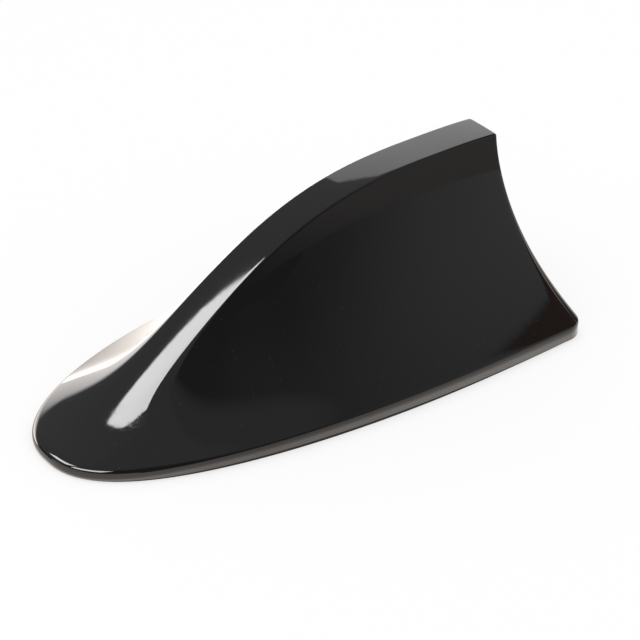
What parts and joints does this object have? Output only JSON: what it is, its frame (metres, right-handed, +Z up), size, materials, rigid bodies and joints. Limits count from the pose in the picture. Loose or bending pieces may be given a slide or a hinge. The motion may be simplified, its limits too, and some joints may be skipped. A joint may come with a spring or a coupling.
{
  "type": "shark fin roof aerial",
  "caption": "Shark fin roof aerial: glossy moulded cover with a narrow crest and flared flanks over a base plate with amplifier board, coil mast and adhesive pad.",
  "frame": {"origin": "on the roof surface, under the middle of the fin's length and width", "axes": "+X from the nose to the tail, +Y across the fin, +Z up from the roof"},
  "size_m": [0.165, 0.0844, 0.0568],
  "materials": {
    "gloss_cover": "gloss black moulded cover",
    "seal_rubber": "matt black rubber",
    "base_moulding": "satin black moulding",
    "pad_foam": "dark grey adhesive foam",
    "screw_steel": "zinc plated steel",
    "board_laminate": "green solder mask on glass laminate",
    "tinned_sheet": "tinned sheet steel",
    "chip_body": "matt black moulding compound",
    "capacitor_ceramic": "tan ceramic with tinned ends",
    "capacitor_can": "satin aluminium can",
    "core_ferrite": "dark grey ferrite",
    "coil_wire": "enamelled copper wire",
    "mast_moulding": "natural white nylon",
    "terminal_brass": "gilt brass"
  },
  "bodies": {
    "root": {"cover": "gloss_cover", "foot_seal": "seal_rubber", "base_plate": "base_moulding", "adhesive_pad": "pad_foam", "lead_grommet": "seal_rubber", "cover_screws": "screw_steel", "circuit_board": "board_laminate", "board_screws": "screw_steel", "shield_frame": "tinned_sheet", "shield_lid": "tinned_sheet", "amplifier_chip": "chip_body", "voltage_regulator": "chip_body", "chip_capacitors": "capacitor_ceramic", "chip_resistors": "chip_body", "chip_inductors": "core_ferrite", "smoothing_capacitor": "capacitor_can", "filter_choke": "core_ferrite", "aerial_coil": "coil_wire", "coil_mast": "mast_moulding", "coil_terminal": "terminal_brass", "top_plate": "tinned_sheet", "top_plate_screw": "screw_steel", "coax_socket": "terminal_brass", "power_socket": "mast_moulding"}
  },
  "joints": []
}
